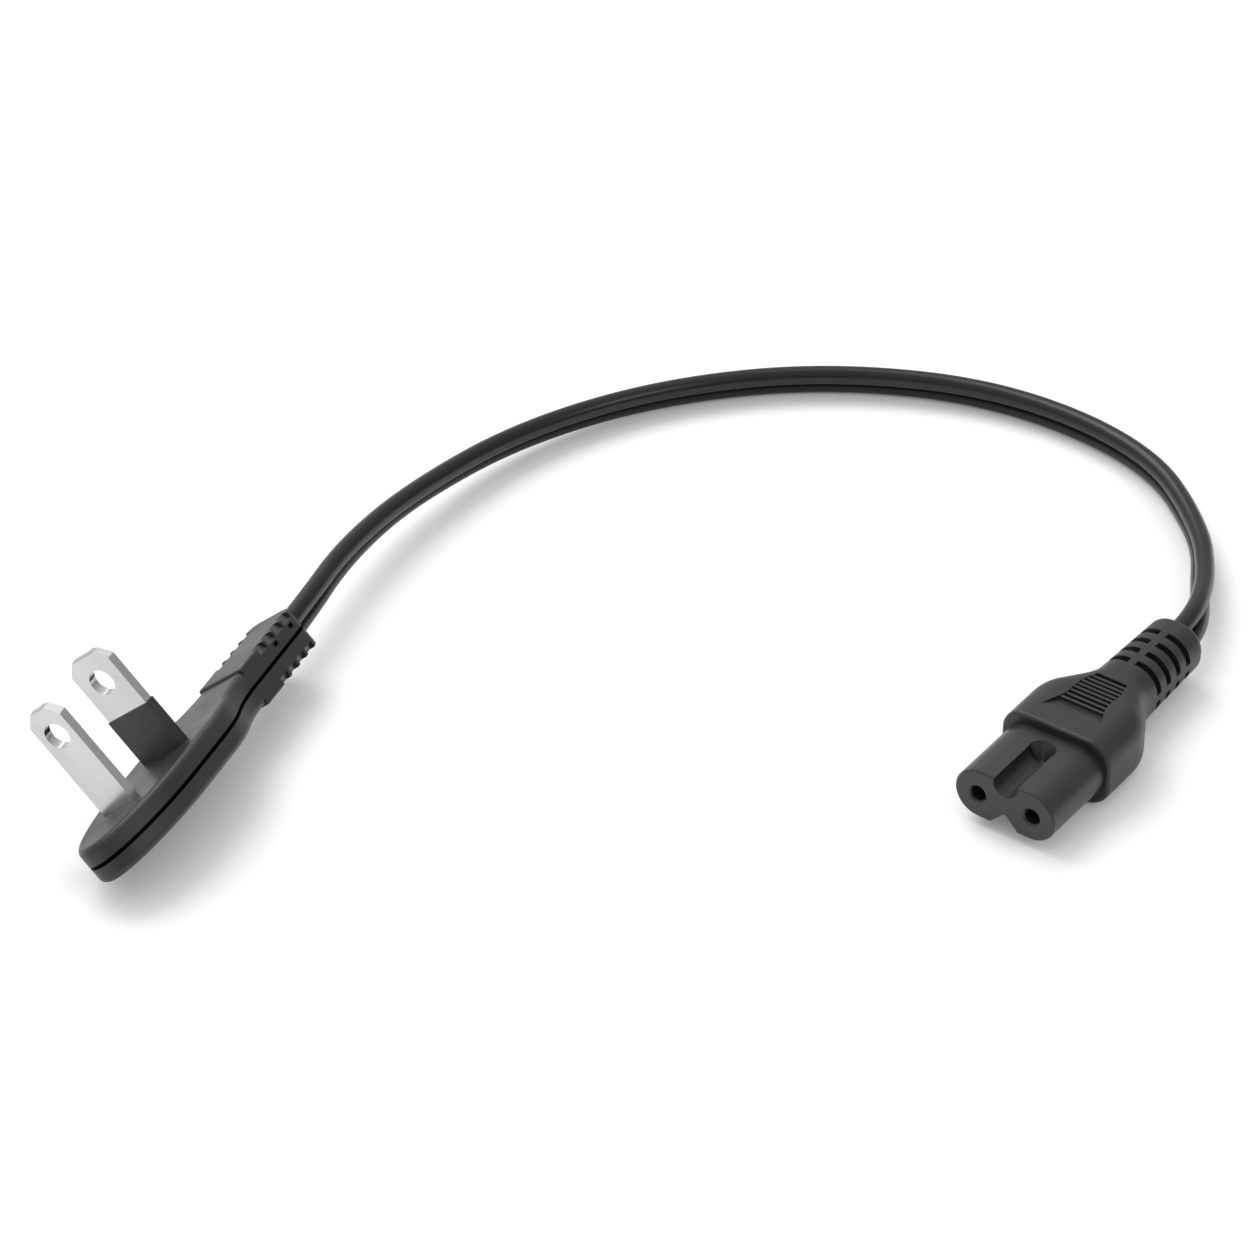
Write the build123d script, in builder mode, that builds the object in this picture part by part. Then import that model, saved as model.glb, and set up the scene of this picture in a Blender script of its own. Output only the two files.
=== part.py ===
from build123d import *
import os
from math import cos, pi, radians, sin, tan

# Short power cord: a slim flat two-blade plug at one end, a figure-eight
# appliance connector at the other, and one arch of twin flex between them.
# It lies on a table: Z is up, the plug lies on its long edge at -X and the
# connector lies flat at +X. The origin is on the table, in the middle of
# the box round the plug and the connector. Millimetres and degrees.

os.makedirs("parts", exist_ok=True)

# Blades
blade_pitch = 12.7
blade_thickness = 1.5
wide_blade_width = 7.94
narrow_blade_width = 6.35
blade_reach = 17.5
blade_hole_diameter = 3.96
blade_hole_height = 12.9
blade_tip_corner = 2.0
blade_tip_bevel = 0.35
sleeve_height = 7.5
sleeve_wall = 0.45
sleeve_proud = 0.15
foot_tongue = 2.6
foot_tongue_width = 4.4

# Plug body
body_width = 15.4
body_thickness = 5.8
body_edge_radius = 1.0
nose_reach = 16.8
nose_length = 18.5
boot_reach = 39.2
neck_start = 9.6
neck_end = 23.0
boot_width = 9.0
boot_corner_radius = 2.0
boot_rise = 0.35
boot_edge_radius = 0.3
reveal_width = 0.45
reveal_depth = 0.7
boot_notch_count = 4
boot_notch_first = 28.9
boot_notch_pitch = 2.5
boot_notch_length = 2.0
boot_notch_size = 1.6
side_slot_count = 2
side_slot_first = 31.7
side_slot_pitch = 4.6
side_slot_length = 1.0
side_slot_height = 0.7
side_slot_depth = 0.8
side_slot_level = 1.4

# Flex, cores and crimps
cord_width = 5.0
core_diameter = 2.4
core_gap = 0.16
core_clearance = 0.25
conductor_diameter = 1.2
crimp_wall = 0.65
crimp_length = 4.0
conductor_stub = 3.8
strip_gap = 0.2
fit_gap = 0.05

# Connector
contact_pitch = 8.6
insert_width = 15.9
insert_height = 7.7
insert_reach = 12.8
insert_root = 8.0
insert_edge = 0.25
key_slot_width = 3.8
key_slot_depth = 2.4
key_slot_length = 9.2
key_cone_diameter = 4.0
key_cone_tip = 1.2
under_notch_width = 4.4
under_notch_depth = 2.3
under_notch_radius = 0.5
anchor_start = 15.2
anchor_length = 2.4
anchor_depth = 0.7
socket_entry_depth = 1.3
socket_entry_bevel = 0.25
contact_bore = 2.4
contact_wall = 0.4
contact_reach = 11.6
contact_web = 0.8
contact_seam = 0.4
contact_tail = 6.0
grip_width = 17.4
grip_height = 10.6
grip_corner = 3.7
grip_rim_radius = 0.5
grip_straight = 9.2
grip_taper = 7.2
grip_bend_radius = 8.0
relief_width = 9.2
relief_height = 8.8
relief_end_width = 8.6
relief_end_height = 8.0
relief_end_radius = 1.2
connector_length = 45.4
relief_slot_count = 4
relief_slot_pitch = 2.7
relief_slot_first = 32.2
relief_slot_width = 1.15
relief_slot_depth = 1.1
relief_bridge = 1.1
pad_start = 16.2
pad_facet = 2.6
pad_front_width = 9.4
pad_waist_width = 6.3
pad_rear_width = 4.8
pad_waist_start = 20.4
pad_waist_end = 24.4
pad_end = 27.3
pad_depth = 0.5
rib_count = 8
rib_pitch = 1.0
rib_width = 0.45
twin_lean = 28.0

# Where the two ends lie on the table
plug_spot = (-65.76, -10.27)
plug_heading = 66.8
plug_lean = 48.3
connector_spot = (50.5, -11.64)
connector_heading = 54.0

# Flex: straight exit runs at both ends, and the corners of the arch between
plug_exit_run = 13.0
connector_exit_run = 5.2
arch_corners = [
    (-36.1, 54.7, 6.6),
    (-17.5, 77.3, 4.0),
    (5.3, 91.9, 2.5),
    (30.3, 96.4, 2.5),
    (55.3, 90.4, 2.5),
    (75.8, 74.1, 2.5),
    (82.9, 55.1, 2.5),
    (82.9, 41.1, 3.4),
]

# The plug's frame: origin on the blade face midway between the blades, X
# along the body towards the flex, Z the way the blades point. The body lies
# on the rounded corner between its lower side and its back.
half_body = body_width / 2
half_thickness = body_thickness / 2
heading = radians(plug_heading)
lean = radians(plug_lean)
side_drop = (half_body - body_edge_radius) * cos(lean)
back_drop = (body_thickness - body_edge_radius) * sin(lean)
plug_height = side_drop + back_drop + body_edge_radius
plug_frame = Plane(
    origin=(plug_spot[0], plug_spot[1], plug_height),
    x_dir=(cos(heading), sin(heading), 0),
    z_dir=(-sin(heading) * cos(lean), cos(heading) * cos(lean), sin(lean)),
)

# The connector's frame: origin at the middle of its mating face, Z back
# towards the flex, Y up.
along = radians(connector_heading)
connector_frame = Plane(
    origin=(connector_spot[0], connector_spot[1], grip_height / 2),
    x_dir=(-sin(along), cos(along), 0),
    z_dir=(cos(along), sin(along), 0),
)


def spot(frame, at):
    """A point given in an end's own frame, as a point on the table."""
    return frame.from_local_coords(Vector(*at))


def turned(frame, at, across, normal):
    """A plane inside an end's own frame, from a local point and directions."""
    origin = spot(frame, at)
    return Plane(
        origin=origin,
        x_dir=spot(frame, across) - frame.origin,
        z_dir=spot(frame, normal) - frame.origin,
    )


# Levels in the plug, measured from the blade face. The two shells meet at
# mid thickness, and the cores and crimps lie in that plane.
split_level = -half_thickness
foot_top = split_level + blade_thickness
face_wall = -foot_top
crimp_bore = conductor_diameter + 2 * fit_gap
crimp_diameter = crimp_bore + 2 * crimp_wall
core_offset = (core_diameter + core_gap) / 2
neck_thickness = blade_thickness + 2 * (sleeve_proud - sleeve_wall)
neck_width = wide_blade_width + 2 * (sleeve_proud - sleeve_wall)
sleeve_thickness = blade_thickness + 2 * sleeve_proud
sleeve_width = wide_blade_width + 2 * sleeve_proud
wide_x = blade_pitch / 2
narrow_x = -blade_pitch / 2
wide_crimp_start = wide_x + blade_thickness / 2 + foot_tongue - 0.5
narrow_crimp_start = narrow_x + blade_thickness / 2 + foot_tongue
narrow_crimp_y = neck_width / 2 + core_diameter / 2 + core_clearance
narrow_tongue_end = narrow_crimp_start + crimp_length / 2
plug_back = turned(plug_frame, (0, 0, -body_thickness), (1, 0, 0), (0, 0, -1))


def plug_outline(inset, plane, behind=None):
    """The plug's plan shape: long oval nose, straight sides, neck and boot."""
    half = half_body - inset
    boot_half = boot_width / 2 - inset
    nose_centre = nose_length - nose_reach
    neck_middle = ((neck_start + neck_end) / 2, (half + boot_half) / 2)
    corner = boot_corner_radius - inset
    boot_end = boot_reach - inset
    with BuildSketch(plane) as outline:
        with BuildLine():
            nose = EllipticalCenterArc(
                (nose_centre, 0), nose_length - inset, half, start_angle=90, arc_size=90)
            side = Line(nose @ 0, (neck_start, half))
            shoulder = TangentArc(side @ 1, neck_middle, tangent=side % 1)
            neck = TangentArc(neck_middle, (neck_end, boot_half), tangent=shoulder % 1)
            boot = Line(neck @ 1, (boot_end - corner, boot_half))
            turn = RadiusArc(boot @ 1, (boot_end, boot_half - corner), corner)
            Line(turn @ 1, (boot_end, 0))
            mirror(about=Plane.XZ)
        make_face()
        if behind is not None:
            with Locations((behind, 0)):
                Rectangle(
                    boot_reach, body_width,
                    align=(Align.MIN, Align.CENTER), mode=Mode.INTERSECT,
                )
    return outline.sketch


def rounded_top(builder, plane, radius):
    """Round the edges of the face that lies furthest along a plane's normal."""
    outward = Axis(plane.origin, plane.z_dir)
    fillet(builder.faces().sort_by(outward)[-1].edges(), radius=radius)


def mould_shell(builder, face):
    """Mould one plug shell from its outer face to the split, with its boot."""
    depth = half_thickness - reveal_width / 2
    extrude(plug_outline(0, face), amount=-depth)
    rounded_top(builder, face, body_edge_radius)
    extrude(plug_outline(0, face.offset(boot_rise), neck_end), amount=-depth - boot_rise)
    rounded_top(builder, face, boot_edge_radius)
    extrude(plug_outline(reveal_depth, face.offset(-depth)), amount=-reveal_width / 2)
    corner_spots = [
        Location(
            (boot_notch_first + step * boot_notch_pitch, side * boot_width / 2, boot_rise),
            (45, 0, 0),
        )
        for step in range(boot_notch_count)
        for side in (-1, 1)
    ]
    with Locations(*corner_spots):
        Box(boot_notch_length, boot_notch_size, boot_notch_size, mode=Mode.SUBTRACT)


def run_tube(points, radii, diameter):
    """Sweep a round section along straight runs joined by tangent bends."""
    with BuildLine() as route:
        if len(points) > 2:
            FilletPolyline(*points, radius=radii)
        else:
            Line(*points)
    with BuildSketch(Plane(origin=route.line @ 0, z_dir=route.line % 0)) as section:
        Circle(diameter / 2)
    sweep(section.sketch, path=route.line)


def round_bar(frame, start, end, diameter, mode=Mode.ADD):
    """A straight round bar between two points of an end's own frame."""
    first, last = spot(frame, start), spot(frame, end)
    with BuildSketch(Plane(origin=first, z_dir=last - first)) as section:
        Circle(diameter / 2)
    extrude(section.sketch, amount=(last - first).length, mode=mode)


def cut_away(frame, solid):
    """Cut a finished solid, in its own place, from the piece being built."""
    with Locations(frame.location.inverse()):
        add(solid, mode=Mode.SUBTRACT)


# Core routes in the plug: the first runs straight to the wide blade, the
# second swings round that blade to the narrow one.
wide_core_start = wide_crimp_start + crimp_length + strip_gap
narrow_core_start = narrow_crimp_start + crimp_length + strip_gap
swing_start = neck_start + 0.4
swing_end = neck_end + 2.3
wide_core_route = [
    spot(plug_frame, (wide_core_start, -core_offset, split_level)),
    spot(plug_frame, (boot_reach, -core_offset, split_level)),
]
narrow_core_route = [
    spot(plug_frame, (narrow_core_start, narrow_crimp_y, split_level)),
    spot(plug_frame, (swing_start, narrow_crimp_y, split_level)),
    spot(plug_frame, (swing_end, core_offset, split_level)),
    spot(plug_frame, (boot_reach, core_offset, split_level)),
]
swing_radius = 4 * core_diameter

with BuildPart() as plug_core_wide:
    run_tube(wide_core_route, None, core_diameter)
    stub_end = wide_core_start - conductor_stub
    round_bar(plug_frame, (stub_end, -core_offset, split_level),
              (wide_core_start, -core_offset, split_level), conductor_diameter)

with BuildPart() as plug_core_narrow:
    run_tube(narrow_core_route, swing_radius, core_diameter)
    stub_end = narrow_core_start - conductor_stub
    round_bar(plug_frame, (stub_end, narrow_crimp_y, split_level),
              (narrow_core_start, narrow_crimp_y, split_level), conductor_diameter)

# Blades: pressed sheet, each with a foot bent at its base and a crimp barrel


def blade_flat(plane, width, root, tip):
    """A blade's flat with cut tip corners and its hole, from root to tip level."""
    half = width / 2
    with BuildSketch(plane) as flat:
        with BuildLine():
            Polyline(
                (-half, root), (half, root), (half, tip - blade_tip_corner),
                (half - blade_tip_corner, tip), (blade_tip_corner - half, tip),
                (-half, tip - blade_tip_corner), close=True,
            )
        make_face()
        with Locations((0, blade_hole_height)):
            Circle(blade_hole_diameter / 2, mode=Mode.SUBTRACT)
    return flat.sketch


def foot_plate(x_start, x_end, y_start, y_end, grow, mode=Mode.ADD):
    """A flat foot plate between the split and the front wall, grown in plan."""
    with Locations(((x_start + x_end) / 2, (y_start + y_end) / 2, split_level)):
        Box(
            x_end - x_start + 2 * grow, y_end - y_start + 2 * grow, blade_thickness,
            align=(Align.CENTER, Align.CENTER, Align.MIN), mode=mode,
        )


def crimp_barrel(x_start, y, grow, mode=Mode.ADD):
    """The outside of a crimp barrel that lies along the body."""
    round_bar(plug_frame, (x_start - grow, y, split_level),
              (x_start + crimp_length + grow, y, split_level),
              crimp_diameter + 2 * grow, mode)


def blade_feet(which, grow, mode=Mode.ADD):
    """Foot, tongue and crimp of one blade, or their pocket when grown."""
    if which == "wide":
        near = wide_x - blade_thickness / 2
        foot_plate(near, near + blade_thickness, -neck_width / 2, neck_width / 2, grow, mode)
        foot_plate(near, wide_crimp_start + 0.5, -core_offset - foot_tongue_width / 2,
                   -core_offset + foot_tongue_width / 2, grow, mode)
        crimp_barrel(wide_crimp_start, -core_offset, grow, mode)
    else:
        near = narrow_x - blade_thickness / 2
        foot_plate(near, near + blade_thickness, -narrow_blade_width / 2,
                   narrow_blade_width / 2, grow, mode)
        foot_plate(near + blade_thickness / 2, narrow_tongue_end, -foot_tongue_width / 4,
                   narrow_crimp_y + crimp_diameter / 2, grow, mode)
        crimp_barrel(narrow_crimp_start, narrow_crimp_y, grow, mode)


blade_up = Axis(plug_frame.origin, plug_frame.z_dir)
wide_plane = turned(plug_frame, (wide_x, 0, 0), (0, 1, 0), (1, 0, 0))
narrow_plane = turned(plug_frame, (narrow_x, 0, 0), (0, 1, 0), (1, 0, 0))

with BuildPart(plug_frame) as wide_blade:
    flat = blade_flat(wide_plane, wide_blade_width, sleeve_height, blade_reach)
    extrude(flat, amount=blade_thickness / 2, both=True)
    chamfer(wide_blade.faces().sort_by(blade_up)[-1].edges(), length=blade_tip_bevel)
    with BuildSketch(wide_plane):
        with Locations((0, foot_top)):
            Rectangle(neck_width, sleeve_height - foot_top, align=(Align.CENTER, Align.MIN))
    extrude(amount=neck_thickness / 2, both=True)
    blade_feet("wide", 0)
    round_bar(plug_frame, (wide_crimp_start, -core_offset, split_level),
              (wide_crimp_start + crimp_length, -core_offset, split_level),
              crimp_bore, Mode.SUBTRACT)

with BuildPart(plug_frame) as narrow_blade:
    flat = blade_flat(narrow_plane, narrow_blade_width, foot_top, blade_reach)
    extrude(flat, amount=blade_thickness / 2, both=True)
    chamfer(narrow_blade.faces().sort_by(blade_up)[-1].edges(), length=blade_tip_bevel)
    blade_feet("narrow", 0)
    round_bar(plug_frame, (narrow_crimp_start, narrow_crimp_y, split_level),
              (narrow_crimp_start + crimp_length, narrow_crimp_y, split_level),
              crimp_bore, Mode.SUBTRACT)

# Insulating sleeve moulded round the neck of the wide blade
with BuildPart(plug_frame) as blade_sleeve:
    with BuildSketch(plug_frame.offset(foot_top)):
        with Locations((wide_x, 0)):
            Rectangle(sleeve_thickness, sleeve_width)
            Rectangle(neck_thickness, neck_width, mode=Mode.SUBTRACT)
    extrude(amount=sleeve_height - foot_top)

# The cores' channels, half in each shell
channel_diameter = core_diameter + 2 * fit_gap
with BuildPart() as wide_channel:
    run_tube(
        [spot(plug_frame, (wide_core_start - strip_gap - fit_gap, -core_offset, split_level)),
         wide_core_route[-1]],
        None, channel_diameter,
    )
with BuildPart() as narrow_channel:
    run_tube(
        [spot(plug_frame, (narrow_core_start - strip_gap - fit_gap, narrow_crimp_y, split_level))]
        + narrow_core_route[1:],
        swing_radius, channel_diameter,
    )

# Plug shells
with BuildPart(plug_frame) as plug_front_half:
    mould_shell(plug_front_half, plug_frame)
    slot_spots = [
        (side_slot_first + step * side_slot_pitch, side * boot_width / 2, -side_slot_level)
        for step in range(side_slot_count)
        for side in (-1, 1)
    ]
    with Locations(*slot_spots):
        Box(side_slot_length, 2 * side_slot_depth, side_slot_height, mode=Mode.SUBTRACT)
    with BuildSketch(plug_frame.offset(foot_top)):
        with Locations((wide_x, 0)):
            Rectangle(sleeve_thickness + 2 * fit_gap, sleeve_width + 2 * fit_gap)
        with Locations((narrow_x, 0)):
            Rectangle(blade_thickness + 2 * fit_gap, narrow_blade_width + 2 * fit_gap)
    extrude(amount=face_wall, mode=Mode.SUBTRACT)
    blade_feet("wide", fit_gap, Mode.SUBTRACT)
    blade_feet("narrow", fit_gap, Mode.SUBTRACT)
    cut_away(plug_frame, wide_channel.part)
    cut_away(plug_frame, narrow_channel.part)

with BuildPart(plug_back) as plug_back_half:
    mould_shell(plug_back_half, plug_back)
    crimp_barrel(wide_crimp_start, -core_offset, fit_gap, Mode.SUBTRACT)
    crimp_barrel(narrow_crimp_start, narrow_crimp_y, fit_gap, Mode.SUBTRACT)
    cut_away(plug_back, wide_channel.part)
    cut_away(plug_back, narrow_channel.part)

# Connector: hard insert with two sockets
half_pitch = contact_pitch / 2
insert_length = insert_reach + insert_root
contact_diameter = contact_bore + 2 * contact_wall
cavity_diameter = contact_diameter + 2 * fit_gap
insert_top = insert_height / 2

with BuildPart(connector_frame) as connector_insert:
    with BuildSketch(connector_frame) as eight:
        SlotOverall(insert_width, insert_height)
        with BuildLine():
            Polyline(
                (-under_notch_width / 2, -insert_top),
                (0, under_notch_depth - insert_top),
                (under_notch_width / 2, -insert_top),
                (0, -insert_top - 1),
                close=True,
            )
        make_face(mode=Mode.SUBTRACT)
        apex = eight.vertices().sort_by_distance((0, under_notch_depth - insert_top))[0]
        fillet(apex, radius=under_notch_radius)
    extrude(amount=insert_length)
    chamfer(connector_insert.faces().sort_by(Axis(connector_frame.origin,
            connector_frame.z_dir))[0].edges(), length=insert_edge)
    with BuildSketch(connector_frame):
        with Locations((0, insert_top - key_slot_depth + key_slot_width / 2)):
            Circle(key_slot_width / 2)
            Rectangle(key_slot_width, insert_height, align=(Align.CENTER, Align.MIN))
    extrude(amount=key_slot_length, mode=Mode.SUBTRACT)
    with Locations(Location((0, insert_top - key_slot_depth, key_slot_length), (-90, 0, 0))):
        Cone(key_cone_tip / 2, key_cone_diameter / 2, key_slot_depth,
             align=(Align.CENTER, Align.CENTER, Align.MIN), mode=Mode.SUBTRACT)
    for side in (-1, 1):
        round_bar(connector_frame, (side * half_pitch, 0, 0),
                  (side * half_pitch, 0, insert_length), contact_bore, Mode.SUBTRACT)
        round_bar(connector_frame, (side * half_pitch, 0, socket_entry_depth),
                  (side * half_pitch, 0, insert_length), cavity_diameter, Mode.SUBTRACT)
    mating_face = connector_insert.faces().sort_by(
        Axis(connector_frame.origin, connector_frame.z_dir))[0]
    entries = mating_face.edges().filter_by(
        lambda edge: edge.geom_type == GeomType.CIRCLE
        and abs(edge.radius - contact_bore / 2) < 0.01)
    chamfer(entries, length=socket_entry_bevel)
    with BuildSketch(connector_frame.offset(anchor_start)):
        Rectangle(2 * insert_width, 2 * insert_height)
        SlotOverall(insert_width - 2 * anchor_depth, insert_height - 2 * anchor_depth,
                    mode=Mode.SUBTRACT)
    extrude(amount=anchor_length, mode=Mode.SUBTRACT)

# Contacts: rolled sockets with a seam, a closed web and a crimp tail
contact_end = socket_entry_depth + contact_reach
tail_diameter = crimp_diameter
tail_end = contact_end + contact_tail


def socket_contact(x):
    """One socket contact on its own line of the insert."""
    round_bar(connector_frame, (x, 0, socket_entry_depth), (x, 0, contact_end), contact_diameter)
    round_bar(connector_frame, (x, 0, contact_end), (x, 0, tail_end), tail_diameter)
    round_bar(connector_frame, (x, 0, socket_entry_depth),
              (x, 0, contact_end - contact_web), contact_bore, Mode.SUBTRACT)
    round_bar(connector_frame, (x, 0, tail_end - crimp_length), (x, 0, tail_end),
              crimp_bore, Mode.SUBTRACT)
    with Locations((x, contact_diameter / 2, socket_entry_depth)):
        Box(contact_seam, contact_diameter, 2 * (contact_reach - contact_web) - 2 * contact_bore,
            mode=Mode.SUBTRACT)


with BuildPart(connector_frame) as contact_left:
    socket_contact(half_pitch)

with BuildPart(connector_frame) as contact_right:
    socket_contact(-half_pitch)

# The connector's cores: from the crimps they close in until they lie one
# above the other, leaning the way the flex leans as it leaves the boot.
lean_x = core_offset * sin(radians(twin_lean))
lean_y = core_offset * cos(radians(twin_lean))
connector_core_start = tail_end + strip_gap
merge_start = insert_length + 1.5
merge_end = insert_reach + grip_straight + grip_taper + 1.5
merge_radius = 4 * core_diameter


def connector_core_route(side, start):
    """Corner points of one core from its crimp to the end of the boot."""
    return [
        spot(connector_frame, (side * half_pitch, 0, start)),
        spot(connector_frame, (side * half_pitch, 0, merge_start)),
        spot(connector_frame, (side * lean_x, side * lean_y, merge_end)),
        spot(connector_frame, (side * lean_x, side * lean_y, connector_length)),
    ]


with BuildPart() as connector_core_left:
    run_tube(connector_core_route(1, connector_core_start), merge_radius, core_diameter)
    round_bar(connector_frame, (half_pitch, 0, connector_core_start - conductor_stub),
              (half_pitch, 0, connector_core_start), conductor_diameter)

with BuildPart() as connector_core_right:
    run_tube(connector_core_route(-1, connector_core_start), merge_radius, core_diameter)
    round_bar(connector_frame, (-half_pitch, 0, connector_core_start - conductor_stub),
              (-half_pitch, 0, connector_core_start), conductor_diameter)

with BuildPart() as connector_channel_left:
    run_tube(connector_core_route(1, tail_end - fit_gap), merge_radius, channel_diameter)
with BuildPart() as connector_channel_right:
    run_tube(connector_core_route(-1, tail_end - fit_gap), merge_radius, channel_diameter)

# Soft grip moulded over the insert and the cores, with its flex relief boot
plan_plane = turned(connector_frame, (0, 0, 0), (0, 0, 1), (0, 1, 0))
side_plane = turned(connector_frame, (0, 0, 0), (0, 0, 1), (-1, 0, 0))
straight_end = insert_reach + grip_straight
taper_end = straight_end + grip_taper
grip_length = connector_length - insert_reach


def grip_profile(plane, front, middle, rear):
    """Half sizes of the grip along its length, mirrored into a full outline."""
    with BuildSketch(plane) as profile:
        with BuildLine():
            FilletPolyline(
                (insert_reach, front), (straight_end, front), (taper_end, middle),
                (connector_length, rear), radius=grip_bend_radius,
            )
            Line((connector_length, rear), (connector_length, 0))
            Line((insert_reach, front), (insert_reach, 0))
            mirror(about=Plane.XZ)
        make_face()
    return profile.sketch


def grip_surface(z):
    """Height of the grip's top over its middle plane, at one point along it."""
    drop = (grip_height - relief_height) / 2 / grip_taper
    return grip_height / 2 - max(0, z - straight_end) * drop


# Thumb pads, top and bottom: a sunk facet, then ribs that follow the surface
with BuildPart() as thumb_pads:
    with BuildSketch(side_plane):
        with BuildLine():
            Polyline(
                (pad_start, grip_surface(pad_start)),
                (pad_start + pad_facet, grip_surface(pad_start) - pad_depth),
                (straight_end, grip_surface(straight_end) - pad_depth),
                (pad_end, grip_surface(pad_end) - pad_depth),
                (pad_end, grip_height),
                (pad_start, grip_height),
                close=True,
            )
        make_face()
        for rib in range(rib_count):
            rib_z = pad_start + pad_facet + (rib + 0.6) * rib_pitch
            with Locations((rib_z, grip_surface(rib_z) - pad_depth / 5)):
                Rectangle(rib_width, 2 * pad_depth, align=(Align.CENTER, Align.MAX),
                          mode=Mode.SUBTRACT)
    extrude(amount=grip_width, both=True)
    with BuildSketch(plan_plane):
        with BuildLine():
            Polyline(
                (pad_start, pad_front_width / 2), (pad_waist_start, pad_waist_width / 2),
                (pad_waist_end, pad_waist_width / 2), (pad_end, pad_rear_width / 2),
            )
            Line((pad_start, pad_front_width / 2), (pad_start, 0))
            Line((pad_end, pad_rear_width / 2), (pad_end, 0))
            mirror(about=Plane.XZ)
        make_face()
    extrude(amount=grip_height, both=True, mode=Mode.INTERSECT)
    mirror(about=plan_plane)

with BuildPart(connector_frame) as connector_grip:
    plan = grip_profile(plan_plane, grip_width / 2, relief_width / 2, relief_end_width / 2)
    extrude(plan, amount=grip_height, both=True)
    side_view = grip_profile(side_plane, grip_height / 2, relief_height / 2, relief_end_height / 2)
    extrude(side_view, amount=grip_width, both=True, mode=Mode.INTERSECT)
    # The four long corners run the length of the grip and the boot
    long_edges = connector_grip.edges().filter_by(
        lambda edge: abs(connector_frame.to_local_coords(edge @ 0).X) > relief_end_width / 2 - 0.01
        and abs(connector_frame.to_local_coords(edge @ 0).Y) > relief_end_height / 2 - 0.01
        and abs(connector_frame.to_local_coords(edge @ 0).Z
                - connector_frame.to_local_coords(edge @ 1).Z) > 0.01
    )
    fillet(long_edges, radius=grip_corner)
    grip_along = Axis(connector_frame.origin, connector_frame.z_dir)
    fillet(connector_grip.faces().sort_by(grip_along)[-1].edges(), radius=relief_end_radius)
    fillet(connector_grip.faces().sort_by(grip_along)[0].edges(), radius=grip_rim_radius)
    cut_away(connector_frame, thumb_pads.part)
    for ring in range(relief_slot_count):
        ring_z = relief_slot_first + ring * relief_slot_pitch
        share = (ring_z - taper_end) / (connector_length - taper_end)
        ring_width = relief_width + share * (relief_end_width - relief_width)
        ring_height = relief_height + share * (relief_end_height - relief_height)
        with BuildSketch(connector_frame.offset(ring_z)):
            Rectangle(grip_width, grip_width)
            RectangleRounded(
                ring_width - 2 * relief_slot_depth, ring_height - 2 * relief_slot_depth,
                grip_corner - relief_slot_depth, mode=Mode.SUBTRACT,
            )
            Rectangle(grip_width, relief_bridge, mode=Mode.SUBTRACT)
            Rectangle(relief_bridge, grip_width, mode=Mode.SUBTRACT)
        extrude(amount=relief_slot_width, mode=Mode.SUBTRACT)
    cut_away(connector_frame, connector_insert.part)
    for side in (-1, 1):
        round_bar(connector_frame, (side * half_pitch, 0, insert_reach),
                  (side * half_pitch, 0, insert_length), cavity_diameter, Mode.SUBTRACT)
    cut_away(connector_frame, connector_channel_left.part)
    cut_away(connector_frame, connector_channel_right.part)

# Flex, as one round tube from boot to boot
cord_points = [
    spot(plug_frame, (boot_reach, 0, split_level)),
    spot(plug_frame, (boot_reach + plug_exit_run, 0, split_level)),
    *[Vector(*corner) for corner in arch_corners],
    spot(connector_frame, (0, 0, connector_length + connector_exit_run)),
    spot(connector_frame, (0, 0, connector_length)),
]


def bend_radii(points):
    """Bend radius at each inner corner, from the share of each run it may use."""
    runs = [after - before for before, after in zip(points, points[1:])]
    radii = []
    for index, (before, after) in enumerate(zip(runs, runs[1:])):
        before_share = 0.85 if index == 0 else 0.45
        after_share = 0.85 if index == len(runs) - 2 else 0.45
        reach = min(before_share * before.length, after_share * after.length)
        radii.append(reach / tan(radians(before.get_angle(after)) / 2))
    return radii


cord_radii = bend_radii(cord_points)
with BuildPart() as cord:
    run_tube(cord_points, cord_radii, cord_width)

sub_parts = {
    "plug_front_half": plug_front_half,
    "plug_back_half": plug_back_half,
    "wide_blade": wide_blade,
    "narrow_blade": narrow_blade,
    "blade_sleeve": blade_sleeve,
    "plug_core_wide": plug_core_wide,
    "plug_core_narrow": plug_core_narrow,
    "cord": cord,
    "connector_insert": connector_insert,
    "connector_grip": connector_grip,
    "contact_left": contact_left,
    "contact_right": contact_right,
    "connector_core_left": connector_core_left,
    "connector_core_right": connector_core_right,
}
for name, sub_part in sub_parts.items():
    sub_part.part.label = name
    export_step(sub_part.part, "parts/" + name + ".step")

ends_only = Compound([piece.part for name, piece in sub_parts.items() if name != "cord"])
box = ends_only.bounding_box()
section = pi * cord_width**2 / 4
print("ends box", box.min, box.max)
print("box middle", round(box.center().X, 2), round(box.center().Y, 2))
print("cord length", round(cord.part.volume / section, 1))
print("cord runs", [round((b - a).length, 1) for a, b in zip(cord_points, cord_points[1:])])
print("bend radii", [round(radius, 1) for radius in cord_radii])
for point in cord_points:
    print("cord point", round(point.X, 2), round(point.Y, 2), round(point.Z, 2))
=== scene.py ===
"""Looks of a short power cord: slim flat plug, twin flex and a figure-eight connector."""

import logging
import math
from dataclasses import dataclass, field
from enum import Enum
from typing import Dict, List, Sequence, Tuple

import bmesh
import bpy
from mathutils import Matrix, Vector


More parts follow.
